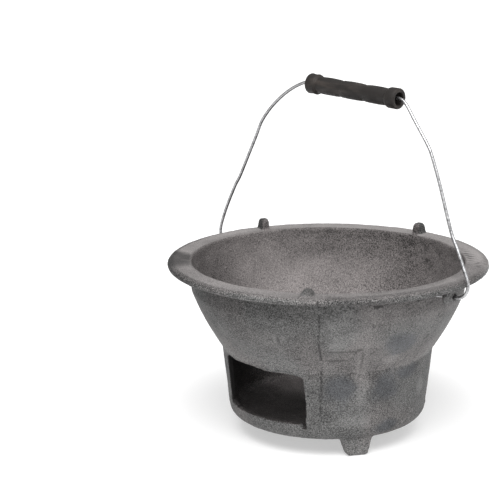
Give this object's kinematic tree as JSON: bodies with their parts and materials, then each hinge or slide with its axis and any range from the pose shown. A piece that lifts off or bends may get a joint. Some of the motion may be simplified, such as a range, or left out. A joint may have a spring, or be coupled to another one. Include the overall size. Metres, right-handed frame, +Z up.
{
  "type": "cast-iron charcoal stove with bail handle",
  "caption": "Flared cast-iron fire bowl on a drum-shaped ash base with a draft opening, pot lugs, a lift-out grate and a wire bail with a turning grip.",
  "frame": {"origin": "on the ground under the centre of the fire bowl", "axes": "+Z up; the draft opening faces -Y; the bail's axis runs along X, 11 mm behind the centre"},
  "size_m": [0.3107, 0.3, 0.3317],
  "materials": {
    "cast_iron": "raw sand-cast, matt to satin",
    "grate_iron": "raw sand-cast, dark",
    "galvanised_wire": "bright galvanised drawn wire",
    "grip_plastic": "moulded, dull"
  },
  "bodies": {
    "stove": {"rim_flange": "cast_iron", "bowl_neck": "cast_iron", "fire_bowl": "cast_iron", "ash_base": "cast_iron", "base_floor": "cast_iron", "foot_right": "cast_iron", "foot_rear": "cast_iron", "foot_left": "cast_iron", "pot_lug_front": "cast_iron", "pot_lug_rear": "cast_iron", "pot_lug_left": "cast_iron", "bail_ear_right": "cast_iron", "bail_ear_left": "cast_iron"},
    "grate": {"charcoal_grate": "grate_iron"},
    "bail": {"bail_wire": "galvanised_wire"},
    "grip": {"handle_grip": "grip_plastic"}
  },
  "joints": [
    {"name": "bail_swing", "type": "hinge", "parent": "stove", "child": "bail", "pos_m": [0, 0.011, 0.1511], "axis": [1, 0, 0], "range_deg": [-4.5, 49]},
    {"name": "grip_spin", "type": "hinge", "parent": "bail", "child": "grip", "pos_m": [0.0037, 0.03178, 0.31978], "axis": [0.9992, -0.0049, -0.0398], "continuous": true},
    {"name": "grate_lift", "type": "slide", "parent": "stove", "child": "grate", "axis": [0, 0, 1], "range_m": [0, 0.115]}
  ]
}
